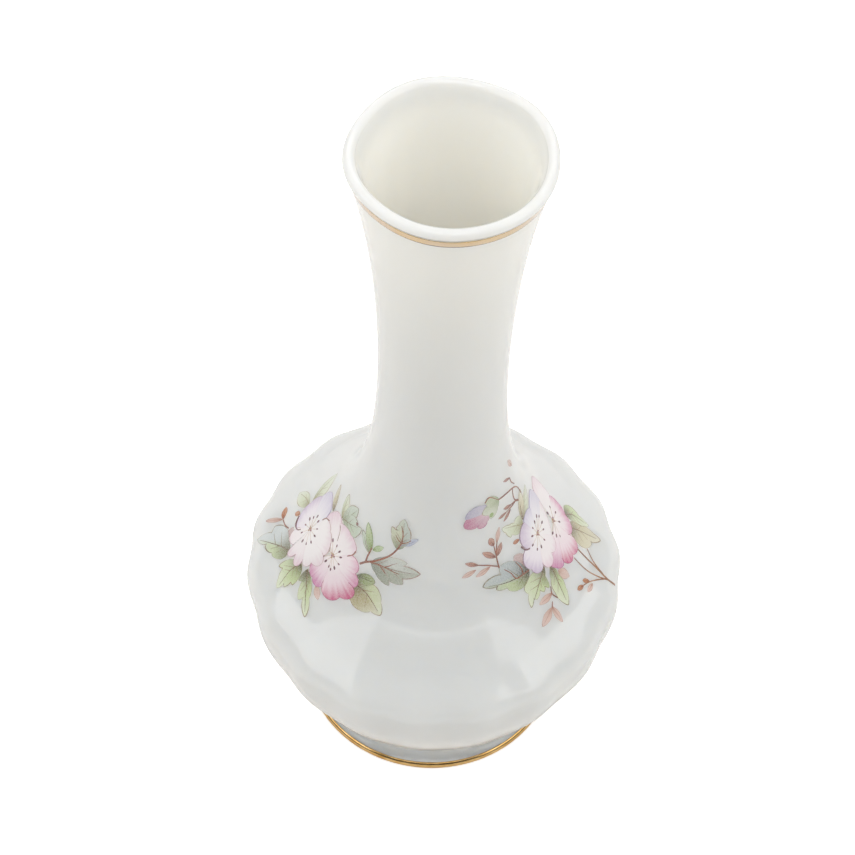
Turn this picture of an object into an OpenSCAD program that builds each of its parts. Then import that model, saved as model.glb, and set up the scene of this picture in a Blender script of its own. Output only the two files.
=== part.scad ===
// Porcelain bottle vase: one slip-cast body with a rolled lip and a spread foot, a gilded line
// under the lip and round the foot, and fired-on enamel flower sprays on the shoulder.
// Millimetres, +Z up, origin at the middle of the foot's resting plane, front towards -Y.

/* [Body] */
// Overall height, from the table to the top of the lip
height = 200; // [180:1:220]
// Radius of the belly ridge, the widest part
belly_r = 47; // [44:0.1:50]
// Radius of the neck where it is narrowest
neck_r = 15.1; // [14:0.1:17]
// Radius of the waist between the bowl and the foot
waist_r = 29.9; // [29:0.1:31]
// Thickness of the cast wall
wall = 2.7; // [2.2:0.1:3.2]
// Thickness of the floor above the foot's hollow
floor_t = 4; // [3:0.1:5]

/* [Lip and foot] */
// Radius to the outside of the rolled lip
lip_r = 22.9; // [22:0.1:24]
// Radius of the roll of clay that makes the lip
roll_r = 1.36; // [1.3:0.02:1.5]
// Radius to the outside of the foot's edge
foot_r = 32.2; // [31.8:0.1:34]
// Radius of the round bead at the foot's edge
bead_r = 1.1; // [0.9:0.1:1.3]
// Width of the ring that rests on the table
rest_w = 2.5; // [1.5:0.1:3]
// Depth of the hollow under the foot
recess = 3; // [2:0.1:3.5]

/* [Decoration] */
// Thickness of the gold lines
gilding_t = 0.08; // [0.05:0.01:0.2]
// Height of the gold line under the lip, measured along the wall
lip_line = 2.2; // [1:0.1:4]
// Thickness of the enamel flowers, leaves and twigs
enamel_t = 0.1; // [0.06:0.01:0.2]
// Width of a painted stem
stem_w = 0.8; // [0.5:0.1:1.2]

/* [Hidden] */
$fn = 96;

PORCELAIN = "#F1F1EC";
GOLD = "#C98A2E";
MAUVE = "#D9CFE6";
PINK = "#CF6FA0";
LEAF = "#9FAE7C";
TWIG = "#A8693F";

// ---- curves ----

// The way that an angle from straight up points, clockwise
function heading(a) = [sin(a), cos(a)];

// A curve from p to q. Each end has a heading, and a pull in proportion to the height between
function curve(p, p_angle, p_pull, q, q_angle, q_pull, steps) =
    let (
        h = q[1] - p[1],
        c = p + p_pull * h * heading(p_angle),
        d = q - q_pull * h * heading(q_angle)
    )
    [for (i = [0 : steps]) let (t = i / steps, u = 1 - t)
        u * u * u * p + 3 * u * u * t * c + 3 * u * t * t * d + t * t * t * q];

// Points on an arc, from angle a to angle b
function arc(centre, r, a, b, steps) =
    [for (i = [0 : steps]) let (t = a + (b - a) * i / steps) centre + r * [cos(t), sin(t)]];

function tail(list) = [for (i = [1 : len(list) - 1]) list[i]];
function reversed(list) = [for (i = [len(list) - 1 : -1 : 0]) list[i]];

// ---- outline of the body, as [radius, height] ----

WAIST = [waist_r, 0.03 * height];
BELLY = [belly_r, 0.2306 * height];
SHOULDER = [neck_r + 0.729 * (belly_r - neck_r), 0.2817 * height];
NECK = [neck_r, 0.645 * height];
FLARE = [lip_r - 0.65, height - 2.8];

BOWL = curve(WAIST, 30, 0.22, BELLY, 0, 0.404, 10);
RIDGE = curve(BELLY, 0, 0.392, SHOULDER, -43.7, 0.324, 6);
SWEEP = curve(SHOULDER, -43.7, 0.304, NECK, 0, 0.586, 16);
THROAT = curve(NECK, 0, 0.307, FLARE, 14, 0.309, 9);
SKIN = concat(BOWL, tail(RIDGE), tail(SWEEP), tail(THROAT));

ROLL = arc([lip_r - roll_r, height - roll_r], roll_r, -50, 180, 14);
bead_steps = 8;
BEAD = arc([foot_r - bead_r, bead_r], bead_r, -90, 62, bead_steps);
COVE = curve(BEAD[bead_steps], -75, 0.3, WAIST, 4, 0.55, 5);

// ---- places on the outer wall ----

// Length along the wall from the waist up to each point of SKIN
function lengths(list, i = 1, sum = 0) =
    i == len(list) ? [sum]
    : concat([sum], lengths(list, i + 1, sum + norm(list[i] - list[i - 1])));
LENGTHS = lengths(SKIN);
wall_length = LENGTHS[len(SKIN) - 1];
R_TABLE = [for (i = [0 : len(SKIN) - 1]) [LENGTHS[i], SKIN[i][0]]];
Z_TABLE = [for (i = [0 : len(SKIN) - 1]) [LENGTHS[i], SKIN[i][1]]];

// The outline point at a length s along the wall, and the way that faces out of the wall there
function on_wall(s) = [lookup(s, R_TABLE), lookup(s, Z_TABLE)];
function outwards(s) =
    let (d = on_wall(s + 0.4) - on_wall(s - 0.4)) [d[1], -d[0]] / norm(d);

// A point of a flat drawing laid on the wall. The drawing's anchor is [azimuth, length along the
// wall], azimuth 0 is the front, x runs to the right and y up the wall
function laid(anchor, xy, lift) =
    let (
        s = anchor[1] + xy[1],
        base = on_wall(s),
        az = anchor[0] + xy[0] / base[0] * 180 / PI,
        p = base + lift * outwards(s)
    ) [p[0] * sin(az), -p[0] * cos(az), p[1]];

// ---- films ----

// A film over rows of drawing points, each row left to right, the rows going up
module film(anchor, rows) {
    n = len(rows);
    m = len(rows[0]);
    top = n * m;
    flat = [for (row = rows) each row];
    points = [for (lift = [0, enamel_t], p = flat) laid(anchor, p, lift)];
    rim = concat(
        [for (j = [0 : m - 2]) j],
        [for (i = [0 : n - 2]) i * m + m - 1],
        [for (j = [m - 1 : -1 : 1]) (n - 1) * m + j],
        [for (i = [n - 1 : -1 : 1]) i * m]
    );
    faces = concat(
        [for (i = [0 : n - 2], j = [0 : m - 2]) let (c = i * m + j) each [
            [c, c + 1, c + m + 1],
            [c, c + m + 1, c + m],
            [top + c, top + c + m + 1, top + c + 1],
            [top + c, top + c + m, top + c + m + 1]
        ]],
        [for (k = [0 : len(rim) - 1]) let (a = rim[k], b = rim[(k + 1) % len(rim)]) each [
            [a, top + b, b],
            [a, top + a, top + b]
        ]]
    );
    polyhedron(points, faces, convexity = 4);
}

// A film inside an outline that runs anticlockwise about the anchor
module round_film(anchor, outline) {
    n = len(outline);
    top = 1 + 2 * n;
    flat = concat([[0, 0]], outline / 2, outline);
    points = [for (lift = [0, enamel_t], p = flat) laid(anchor, p, lift)];
    faces = [for (i = [0 : n - 1])
        let (a = 1 + i, b = 1 + (i + 1) % n, c = a + n, d = b + n) each [
            [0, a, b],
            [a, c, d],
            [a, d, b],
            [top, top + b, top + a],
            [top + a, top + d, top + c],
            [top + a, top + b, top + d],
            [c, top + c, top + d],
            [c, top + d, d]
        ]];
    polyhedron(points, faces, convexity = 4);
}

// A point on the line of a leaf or stem of a given length that turns evenly by turn about its
// mean heading a, at a fraction t of its length
function bowed(a, turn, length, t) =
    let (k = turn == 0 ? 0.01 : turn, start = a - k / 2, r = length * 180 / PI / k)
    r * [cos(start) - cos(start + k * t), sin(start + k * t) - sin(start)];
function rightwards(a) = [cos(a), -sin(a)];

// Leaves, buds and stems are given as
// [azimuth, length up the wall, heading, length, width, turn], from the stalk end
module leaf(spec, steps = 7) {
    rows = [for (i = [0 : steps])
        let (
            t = i / steps,
            mid = bowed(spec[2], spec[5], spec[3], t),
            half = 0.12 + spec[4] / 2 * pow(sin(180 * pow(t, 0.8)), 0.8),
            side = half * rightwards(spec[2] + spec[5] * (t - 0.5))
        )
        [mid - side, mid, mid + side]];
    film([spec[0], spec[1]], rows);
}

module stem(spec, steps = 8) {
    rows = [for (i = [0 : steps])
        let (
            t = i / steps,
            mid = bowed(spec[2], spec[5], spec[3], t),
            side = stem_w / 2 * (1 - 0.6 * t) * rightwards(spec[2] + spec[5] * (t - 0.5))
        )
        [mid - side, mid + side]];
    film([spec[0], spec[1]], rows);
}

// A blossom is [azimuth, length up the wall, diameter, petals, turn]. Where a nearer blossom
// covers it, front gives that one's place in the drawing and its radius: [x, y, radius]
module blossom(spec, front = [0, 0, 0], steps = 40) {
    far = norm([front[0], front[1]]);
    round_film([spec[0], spec[1]], [for (i = [0 : steps - 1])
        let (
            a = 360 * i / steps,
            petal = abs(cos(spec[3] / 2 * (a - spec[4]))),
            free = spec[2] / 2 * (0.84 + 0.16 * pow(petal, 0.6)),
            along = (front[0] * cos(a) + front[1] * sin(a)),
            miss = far * far - along * along,
            hit = front[2] * front[2] - miss,
            edge = along > 0 && hit > 0 ? along - sqrt(hit) - 0.2 : free
        )
        min(free, edge) * [cos(a), sin(a)]]);
}

// ---- where the sprays lie ----

LEFT_MAUVE = [-83, 69, 18, 5, 20];
LEFT_PINK = [-60, 74, 19, 6, 10];
LEFT_LEAVES = [
    [-88, 58, 190, 9, 4.5, -20],
    [-71, 62, 160, 9, 5, 20],
    [-57, 64, 170, 8, 4.5, -20],
    [-41, 73, 80, 12, 5, 20],
    [-42, 81, 95, 15, 3.4, -25],
    [-49, 85, 30, 9, 4.5, 25],
    [-64, 85.5, -10, 8, 5, -25],
    [-28, 89, 40, 11, 4.5, 30],
    [-103, 78, -40, 10, 5, 20]
];
LEFT_TWIGS = [
    [-46, 78, 70, 7, 0, 20],
    [-38, 86, 45, 9, 0, -30],
    [-104, 72, -75, 9, 0, 40]
];

RIGHT_MAUVE = [72, 79, 18, 5, 50];
RIGHT_PINK = [88, 69, 19, 6, 25];
RIGHT_BUD = [40, 97, -85, 9, 6, 10];
RIGHT_LEAVES = [
    [55, 78, -95, 13, 4.6, 20],
    [62, 68, 215, 10, 5, -20],
    [53, 62, 240, 6, 3, 20],
    [103, 61, 150, 9, 5, 20],
    [108, 70, 95, 10, 5, -20],
    [90, 84, 40, 9, 4.5, 20],
    [47, 99, -60, 5, 2.4, 20]
];
RIGHT_TWIGS = [
    [70, 90, -50, 9, 0, -40],
    [52, 88, -80, 14, 0, 25],
    [82, 58, 175, 9, 0, 15],
    [66, 101, 30, 8, 0, 20]
];

BACK_PINK = [180, 72, 19, 6, 0];
BACK_LEAVES = [
    [166, 68, -110, 11, 5, 20],
    [194, 70, 105, 11, 5, -20],
    [175, 83, -25, 10, 4.8, -20],
    [187, 83, 30, 9, 4.4, 25],
    [181, 61, 185, 8, 4.6, 15]
];
BACK_TWIGS = [
    [163, 77, -65, 10, 0, 30],
    [198, 78, 70, 9, 0, -30]
];

// ---- the pieces ----

// The casting: foot, bowl, shoulder, neck and lip in one wall, open at the top
module vase_body() {
    inner = [for (i = [2 : len(SKIN) - 1]) SKIN[i] - wall * outwards(LENGTHS[i])];
    floor_z = recess + floor_t;
    rest_r = foot_r - bead_r - rest_w;
    color(PORCELAIN) rotate_extrude() polygon(concat(
        [[0, recess], [rest_r - 1.2, recess], [rest_r - 0.4, recess - 0.8], [rest_r, 0]],
        BEAD,
        tail(COVE),
        tail(SKIN),
        ROLL,
        reversed(inner),
        arc([inner[0][0] - 4.5, floor_z + 4], 4, -20, -90, 5),
        [[0, floor_z]]
    ));
}

// Gold burnished onto the wall, tucked in under the roll of the lip
module lip_gilding() {
    steps = 4;
    line = [for (i = [0 : steps]) wall_length - 0.3 - lip_line * (1 - i / steps)];
    color(GOLD) rotate_extrude() polygon(concat(
        [for (s = line) on_wall(s) + gilding_t * outwards(s)],
        [for (s = reversed(line)) on_wall(s)]
    ));
}

// Gold over the outer half of the foot's bead, clear of the table
module foot_gilding() {
    bead_centre = [foot_r - bead_r, bead_r];
    outer = [for (p = tail(BEAD)) bead_centre + (p - bead_centre) * (1 + gilding_t / bead_r)];
    color(GOLD) rotate_extrude() polygon(concat(outer, reversed(tail(BEAD))));
}

module left_mauve_blossom() { color(MAUVE) blossom(LEFT_MAUVE, front = [13, 4.5, 8.6]); }
module left_pink_blossom() { color(PINK) blossom(LEFT_PINK); }
module left_leaves() { color(LEAF) for (spec = LEFT_LEAVES) leaf(spec); }
module left_twigs() { color(TWIG) for (spec = LEFT_TWIGS) stem(spec); }

module right_mauve_blossom() { color(MAUVE) blossom(RIGHT_MAUVE); }
module right_pink_blossom() { color(PINK) blossom(RIGHT_PINK, front = [-8.5, 9.5, 8.6]); }
module right_bud() { color(PINK) leaf(RIGHT_BUD); }
module right_leaves() { color(LEAF) for (spec = RIGHT_LEAVES) leaf(spec); }
module right_twigs() { color(TWIG) for (spec = RIGHT_TWIGS) stem(spec); }

module back_pink_blossom() { color(PINK) blossom(BACK_PINK); }
module back_leaves() { color(LEAF) for (spec = BACK_LEAVES) leaf(spec); }
module back_twigs() { color(TWIG) for (spec = BACK_TWIGS) stem(spec); }

vase_body();
lip_gilding();
foot_gilding();
left_mauve_blossom();
left_pink_blossom();
left_leaves();
left_twigs();
right_mauve_blossom();
right_pink_blossom();
right_bud();
right_leaves();
right_twigs();
back_pink_blossom();
back_leaves();
back_twigs();
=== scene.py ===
# %% [markdown]
# # A porcelain bottle vase with enamelled flowers and gilded lines
#
# The vase is one slip-cast body, and everything else on it is a film: gold under the lip and on
# the foot, and on-glaze enamel for the flowers, leaves and twigs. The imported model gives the
# frame and the plain turned shape. This lesson makes the finished surfaces over it: a body with
# soft lobes, films that follow those lobes, and a glaze, an enamel and a gold to put on them.

# %% The frame
import math

import bpy
import numpy as np
from mathutils import Matrix, Vector


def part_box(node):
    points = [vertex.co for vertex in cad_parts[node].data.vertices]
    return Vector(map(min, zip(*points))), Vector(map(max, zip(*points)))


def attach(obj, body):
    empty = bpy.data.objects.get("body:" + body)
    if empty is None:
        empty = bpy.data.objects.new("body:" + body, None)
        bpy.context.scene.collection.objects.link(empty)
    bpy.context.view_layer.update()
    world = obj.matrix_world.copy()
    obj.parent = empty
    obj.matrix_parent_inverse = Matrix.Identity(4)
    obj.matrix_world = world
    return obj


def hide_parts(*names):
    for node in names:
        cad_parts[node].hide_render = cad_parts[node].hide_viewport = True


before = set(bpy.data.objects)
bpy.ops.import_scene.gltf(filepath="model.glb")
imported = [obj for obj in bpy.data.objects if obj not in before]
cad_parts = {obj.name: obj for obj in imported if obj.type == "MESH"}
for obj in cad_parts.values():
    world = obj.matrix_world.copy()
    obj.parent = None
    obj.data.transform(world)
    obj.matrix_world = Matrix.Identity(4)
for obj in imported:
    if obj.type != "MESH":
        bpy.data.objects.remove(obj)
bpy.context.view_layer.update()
MM = 0.001
low, high = (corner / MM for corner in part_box("vase_body"))
HEIGHT = high.z
print(f"the vase is {HEIGHT:.1f} mm high and {high.x - low.x:.1f} mm across")

# %% [markdown]
# ## A few small helpers
#
# Colours are written as the hex values that a paint chart would give, and one function turns
# them to the linear values that Blender works in. One function adds a node with its settings and
# its links, for shaders and for Geometry Nodes alike, and three more use it for a step of
# arithmetic, a mix of two colours and a change of range. One puts a finished mesh in the scene.


# %% Helpers
def linear(hex_colour):
    """The linear red, green and blue of an sRGB hex colour."""
    channels = [int(hex_colour[i:i + 2], 16) / 255 for i in (1, 3, 5)]
    return [c / 12.92 if c <= 0.04045 else ((c + 0.055) / 1.055) ** 2.4 for c in channels]


def add(tree, kind, inputs=(), **settings):
    """Adds a node. Each input is a value, or a socket of another node to link from."""
    made = tree.nodes.new(kind)
    for name, value in settings.items():
        setattr(made, name, value)
    for key, value in dict(inputs).items():
        if isinstance(value, bpy.types.NodeSocket):
            tree.links.new(value, made.inputs[key])
        else:
            made.inputs[key].default_value = value
    return made


def calc(tree, operation, *values):
    """A step of arithmetic on numbers or sockets, as a socket."""
    return add(tree, "ShaderNodeMath", enumerate(values), operation=operation).outputs[0]


def mixed(tree, share, *pair):
    """A mix of two colours, each a hex value or a socket, as a socket."""
    one, other = ((*linear(c), 1) if isinstance(c, str) else c for c in pair)
    return add(tree, "ShaderNodeMix", {0: share, 6: one, 7: other}, data_type="RGBA").outputs[2]


def ranged(tree, value, low, high, start=0.0, end=1.0):
    """A value that goes from start to end, made to go from low to high, as a socket."""
    return add(tree, "ShaderNodeMapRange", {
        "Value": value, 1: start, 2: end, 3: low, 4: high}).outputs[0]


def put(name, mesh):
    """A new object with this mesh, light or camera, in the scene."""
    made = bpy.data.objects.new(name, mesh)
    bpy.context.scene.collection.objects.link(made)
    return made


# %% [markdown]
# ## The outline of the wall
#
# The potter's drawing of a vase is a single line from the foot to the lip. Here it is four
# curves, each with a heading and a pull at both ends, so that they join without a kink at the
# belly, the shoulder and the neck. The foot's bead and the roll of the lip are arcs. The inside
# of the casting is the same line moved in by the thickness of the wall.

# %% The outline, as [radius, height] in millimetres
WALL = 2.7
# The floor inside is at one height, and the hollow under it reaches up to the other
FLOOR = 7.0
RECESS = 3.0
WAIST = [29.9, 0.03 * HEIGHT]
BELLY = [47.0, 0.2306 * HEIGHT]
SHOULDER = [38.36, 0.2817 * HEIGHT]
NECK = [15.1, 0.645 * HEIGHT]
FLARE = [22.25, HEIGHT - 2.8]
ROLL_R = 1.36
BEAD_R = 1.35
LIP_R = 22.9
FOOT_R = 32.5
REST_W = 2.5
ROLL = np.array([LIP_R - ROLL_R, HEIGHT - ROLL_R])
BEAD = np.array([FOOT_R - BEAD_R, BEAD_R])
REST_R = BEAD[0] - REST_W


def heading(angle):
    """The way that an angle from straight up points, clockwise."""
    a = np.radians(angle)
    return np.stack([np.sin(a), np.cos(a)], -1)


def curve(p, p_angle, p_pull, q, q_angle, q_pull, steps):
    p, q = np.array(p), np.array(q)
    rise = q[1] - p[1]
    c = p + p_pull * rise * heading(p_angle)
    d = q - q_pull * rise * heading(q_angle)
    t = np.linspace(0, 1, steps + 1)[:, None]
    u = 1 - t
    return u**3 * p + 3 * u**2 * t * c + 3 * u * t**2 * d + t**3 * q


def arc(centre, radius, start, end, steps):
    a = np.radians(np.linspace(start, end, steps + 1))[:, None]
    return centre + radius * np.hstack([np.cos(a), np.sin(a)])


skin = np.vstack([
    curve(WAIST, 30, 0.22, BELLY, 0, 0.404, 36),
    curve(BELLY, 0, 0.392, SHOULDER, -43.7, 0.324, 24)[1:],
    curve(SHOULDER, -43.7, 0.304, NECK, 0, 0.586, 58)[1:],
    curve(NECK, 0, 0.307, FLARE, 14, 0.309, 36)[1:],
])
along = np.r_[0, np.cumsum(np.hypot(*np.diff(skin, axis=0).T))]
slope = np.gradient(skin, along, axis=0)
outward = np.stack([slope[:, 1], -slope[:, 0]], -1)
outward /= np.linalg.norm(outward, axis=1)[:, None]

foot = arc(BEAD, BEAD_R, -90, 62, 10)
cove = curve(foot[-1], -75, 0.3, WAIST, 4, 0.55, 8)
# The inside starts above the waist, and a round corner takes it down to the floor
inside = (skin - WALL * outward)[6::2][::-1]
WELL_R = 4
well = arc(inside[-1] + [-3.6, 2.5], WELL_R, -20, -90, 6)
well[:, 1] += FLOOR - well[-1, 1]
body_line = np.vstack([
    [[0, RECESS], [REST_R / 2, RECESS], [REST_R - 1.6, RECESS], [REST_R - 0.8, RECESS - 0.6]],
    [[REST_R - 0.3, 0.5], [REST_R, 0]],
    foot, cove[1:], skin[1:],
    arc(ROLL, ROLL_R, -50, 180, 20),
    inside, well, [[well[-1, 0] / 2, FLOOR], [0, FLOOR]],
])
print(f"{len(body_line)} points; the wall is {along[-1]:.0f} mm long from the waist to the lip")

# %% [markdown]
# ## Soft lobes
#
# The mould gives the belly a ring of shallow lobes, under a millimetre deep, and the lip leaves
# it a little out of round, with four soft corners and then five. They are cosines round the
# axis. Each has a weight that rises and falls with height, so the foot and the middle of the
# neck stay round. The films need the same sum later, so it is a plain function here and a node
# tree next.

# %% Lobes
# Depths are shares of the radius, turns are in degrees, and rises and falls are heights in mm
LOBES = {
    "belly": {"count": 18, "depth": 0.008, "turn": -3, "rise": (12, 42), "fall": (47, 62)},
    "lip_four": {"count": 4, "depth": 0.007, "turn": 20, "rise": (150, 198)},
    "lip_five": {"count": 5, "depth": 0.007, "turn": -13, "rise": (150, 198)},
}


def ease(x, start, end):
    t = np.clip((x - start) / (end - start), 0, 1)
    return t * t * (3 - 2 * t)


def lobe_weight(name, z):
    lobe = LOBES[name]
    return ease(z, *lobe["rise"]) * (1 - ease(z, *lobe.get("fall", (998, 999))))


def swell(azimuth, z):
    """How much the lobes stretch the radius at an azimuth in degrees and a height."""
    total = 1
    for name, lobe in LOBES.items():
        wave = np.cos(np.radians(lobe["count"] * (azimuth - lobe["turn"])))
        total = total + lobe_weight(name, z) * lobe["depth"] * wave
    return total


print("the belly's lobes are", round(2 * LOBES["belly"]["depth"] * BELLY[0], 2), "mm deep")

# %% [markdown]
# ## Turning the outline with Geometry Nodes
#
# A potter turns the line about the axis, and Geometry Nodes can do the same: a grid has one
# column for each step round and one row for each point of the line, and each of its vertices
# looks up its point, turns it to its azimuth and swells it by the lobes. The body and both gold
# lines come from this one tree. Its inputs are set by their identifiers, before the object is
# evaluated, and the result is kept as a plain mesh.


# %% The tree
# Points nearer than this, in metres, are the same: the seam, and the points on the axis
SEAM = 2e-6


def turning_tree():
    tree = bpy.data.node_groups.new("turned with lobes", "GeometryNodeTree")
    sockets = {"Outline": "Geometry", "Around": "Int", "Finish": "Material"}
    for name in LOBES:
        sockets |= {f"{name} count": "Int", f"{name} depth": "Float", f"{name} turn": "Float"}
    for name, kind in sockets.items():
        tree.interface.new_socket(name, in_out="INPUT", socket_type="NodeSocket" + kind)
    tree.interface.new_socket("Mesh", in_out="OUTPUT", socket_type="NodeSocketGeometry")
    given = add(tree, "NodeGroupInput").outputs
    size = add(tree, "GeometryNodeAttributeDomainSize", {0: given["Outline"]})
    rows = size.outputs["Point Count"]
    grid = add(tree, "GeometryNodeMeshGrid", {
        "Vertices X": calc(tree, "ADD", given["Around"], 1.0), "Vertices Y": rows})
    index = add(tree, "GeometryNodeInputIndex").outputs[0]
    column = calc(tree, "FLOOR", calc(tree, "DIVIDE", index, rows))
    row = calc(tree, "FLOORED_MODULO", index, rows)
    angle = calc(tree, "MULTIPLY", calc(tree, "DIVIDE", column, given["Around"]), math.tau)
    point = add(tree, "GeometryNodeSampleIndex", {
        "Geometry": given["Outline"], "Index": row,
        "Value": add(tree, "GeometryNodeInputPosition").outputs[0]}, data_type="FLOAT_VECTOR")
    place = add(tree, "ShaderNodeSeparateXYZ", {0: point.outputs[0]}).outputs
    stretch = 1.0
    for name in LOBES:
        stored = add(tree, "GeometryNodeInputNamedAttribute", {"Name": name}, data_type="FLOAT")
        weight = add(tree, "GeometryNodeSampleIndex", {
            "Geometry": given["Outline"], "Index": row, "Value": stored.outputs[0]},
            data_type="FLOAT")
        from_turn = calc(tree, "SUBTRACT", angle, given[f"{name} turn"])
        wave = calc(tree, "COSINE", calc(tree, "MULTIPLY", from_turn, given[f"{name} count"]))
        depth = calc(tree, "MULTIPLY", weight.outputs[0], given[f"{name} depth"])
        stretch = calc(tree, "MULTIPLY_ADD", wave, depth, stretch)
    radius = calc(tree, "MULTIPLY", place["X"], stretch)
    x = calc(tree, "MULTIPLY", radius, calc(tree, "SINE", angle))
    back = calc(tree, "MULTIPLY", radius, calc(tree, "COSINE", angle))
    y = calc(tree, "MULTIPLY", back, -1.0)
    at = add(tree, "ShaderNodeCombineXYZ", {0: x, 1: y, 2: place["Z"]})
    moved = add(tree, "GeometryNodeSetPosition", {
        "Geometry": grid.outputs["Mesh"], "Position": at.outputs[0]})
    closed = add(tree, "GeometryNodeMergeByDistance", {0: moved.outputs[0], "Distance": SEAM})
    smooth = add(tree, "GeometryNodeSetShadeSmooth", {0: closed.outputs[0]})
    real = add(tree, "GeometryNodeRealizeInstances", {0: smooth.outputs[0]})
    done = add(tree, "GeometryNodeSetMaterial", {
        0: real.outputs[0], "Material": given["Finish"]})
    add(tree, "NodeGroupOutput", {0: done.outputs[0]})
    return tree


turning = turning_tree()


def turned(name, line, finish, around=288):
    """Turns an outline in millimetres into a plain lobed mesh, in a finished object."""
    mesh = bpy.data.meshes.new(name)
    mesh.from_pydata([(r * MM, 0, z * MM) for r, z in line], [], [])
    for key in LOBES:
        weight = lobe_weight(key, line[:, 1])
        mesh.attributes.new(key, "FLOAT", "POINT").data.foreach_set("value", weight)
    drawn = put(name + " outline", mesh)
    modifier = drawn.modifiers.new("turning", "NODES")
    modifier.node_group = turning
    values = {"Around": around, "Finish": finish}
    for key, lobe in LOBES.items():
        values |= {f"{key} count": lobe["count"], f"{key} depth": lobe["depth"],
                   f"{key} turn": math.radians(lobe["turn"])}
    for socket in turning.interface.items_tree:
        if socket.name in values:
            modifier[socket.identifier] = values[socket.name]
    evaluated = drawn.evaluated_get(bpy.context.evaluated_depsgraph_get())
    piece = put(name, bpy.data.meshes.new_from_object(evaluated))
    piece.data.name = name
    bpy.data.objects.remove(drawn)
    print(f"{name}: {len(piece.data.polygons)} faces")
    return piece


# %% [markdown]
# ## Glazed porcelain
#
# Slip-cast porcelain is a white, slightly glassy clay under a clear glaze fired until it runs
# smooth. The clay is a little warm, and light that bounces about inside the neck picks that up
# as cream. The glaze is a hard gloss with a very slow ripple, a few pinholes and iron specks
# show in it, and the ring that the vase was fired on is wiped bare, so it is matt.


# %% Porcelain
def finish(name):
    """A new material, with its tree and its main shader."""
    made = bpy.data.materials.new(name)
    made.use_nodes = True
    tree = made.node_tree
    return made, tree, tree.nodes["Principled BSDF"]


def porcelain_finish():
    made, tree, shader = finish("slip-cast porcelain, clear glaze")
    where = add(tree, "ShaderNodeTexCoord").outputs["Object"]
    # The clay's tint drifts over some 60 mm
    drift = add(tree, "ShaderNodeTexNoise", {"Vector": where, "Scale": 1 / (60 * MM)})
    tint = mixed(tree, drift.outputs["Fac"], "#F9F6EB", "#FAF7EE")
    # One iron speck in some 25 mm, under half a millimetre across
    cell = add(tree, "ShaderNodeTexVoronoi", {"Vector": where, "Scale": 1 / (14 * MM)})
    speck = ranged(tree, cell.outputs["Distance"], 1.0, 0.0, 0.010, 0.018)
    chosen = add(tree, "ShaderNodeSeparateColor", {0: cell.outputs["Color"]})
    rare = calc(tree, "LESS_THAN", chosen.outputs[0], 0.22)
    marked = mixed(tree, calc(tree, "MULTIPLY", speck, rare), tint, "#7A6A58")
    # The bare ring is the lowest quarter millimetre
    height = add(tree, "ShaderNodeSeparateXYZ", {0: where})
    bare = ranged(tree, height.outputs["Z"], 1.0, 0.0, 0.15 * MM, 0.35 * MM)
    clay = mixed(tree, bare, marked, "#E6DFD2")
    # The glaze ripples over some 9 mm, a few hundredths of a millimetre high
    ripple = add(tree, "ShaderNodeTexNoise", {
        "Vector": where, "Scale": 1 / (9 * MM), "Detail": 1.0, "Roughness": 0.3})
    relief = add(tree, "ShaderNodeBump", {
        "Height": ripple.outputs["Fac"], "Strength": 0.25, "Distance": 0.04 * MM})
    tree.links.new(clay, shader.inputs["Base Color"])
    tree.links.new(ranged(tree, bare, 0.07, 0.75), shader.inputs["Roughness"])
    tree.links.new(relief.outputs[0], shader.inputs["Normal"])
    shader.inputs["IOR"].default_value = 1.5
    # Light passes a few millimetres into the clay, and through the wall, the warm end best
    shader.inputs["Subsurface Weight"].default_value = 0.9
    shader.inputs["Subsurface Radius"].default_value = (1.0, 0.92, 0.82)
    shader.inputs["Subsurface Scale"].default_value = 8 * MM
    return made


porcelain = porcelain_finish()
body = turned("vase_body_glazed", body_line, porcelain)

# %% [markdown]
# ## Burnished gold lines
#
# Liquid gold is brushed on over the glaze while the vase spins, fired, and burnished. It is a
# few microns thick, deeper in colour where it lies thicker, and nearly as bright as a mirror.
# Each line is a thin closed band from the same tree: the upper one is tucked in under the roll
# of the lip, and the lower one covers the outer half of the foot's bead.


# %% Gold
def gold_finish(name, thin, thick, patch):
    """Gold from a thin colour to a thick one, in patches some millimetres across."""
    made, tree, shader = finish(name)
    where = add(tree, "ShaderNodeTexCoord").outputs["Object"]
    brushed = add(tree, "ShaderNodeTexNoise", {"Vector": where, "Scale": 1 / (patch * MM)})
    spread = ranged(tree, brushed.outputs["Fac"], 0.0, 1.0, 0.35, 0.65)
    wear = ranged(tree, brushed.outputs["Fac"], 0.10, 0.24)
    tree.links.new(mixed(tree, spread, thin, thick), shader.inputs["Base Color"])
    tree.links.new(wear, shader.inputs["Roughness"])
    shader.inputs["Metallic"].default_value = 1
    return made


# The foot is gilded thickly, and the lip with one thin wash that the glaze shows through
foot_leaf = gold_finish("burnished gold over glaze", "#E8C488", "#D2A45E", 4)
lip_wash = gold_finish("thin gold wash over glaze", "#DECFC3", "#DEC08E", 14)
GOLD_T = 0.08
# The lip's line is this wide, and starts just under the roll
LIP_LINE = 2.2
TUCK = 0.05


def band(inner, away):
    """A closed outline over a stretch of wall, from its points and the way out at each."""
    return np.vstack([inner[:1], inner + GOLD_T * away, inner[::-1]])


lip_run = along[-1] - TUCK - np.linspace(LIP_LINE, 0, 9)
lip_wall, lip_away = (
    np.stack([np.interp(lip_run, along, line[:, i]) for i in (0, 1)], -1)
    for line in (skin, outward))
lip_gold = turned("lip_gold", band(lip_wall, lip_away), lip_wash)
bead_line = foot[1:]
foot_gold = turned("foot_gold", band(bead_line, (bead_line - BEAD) / BEAD_R), foot_leaf)

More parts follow.
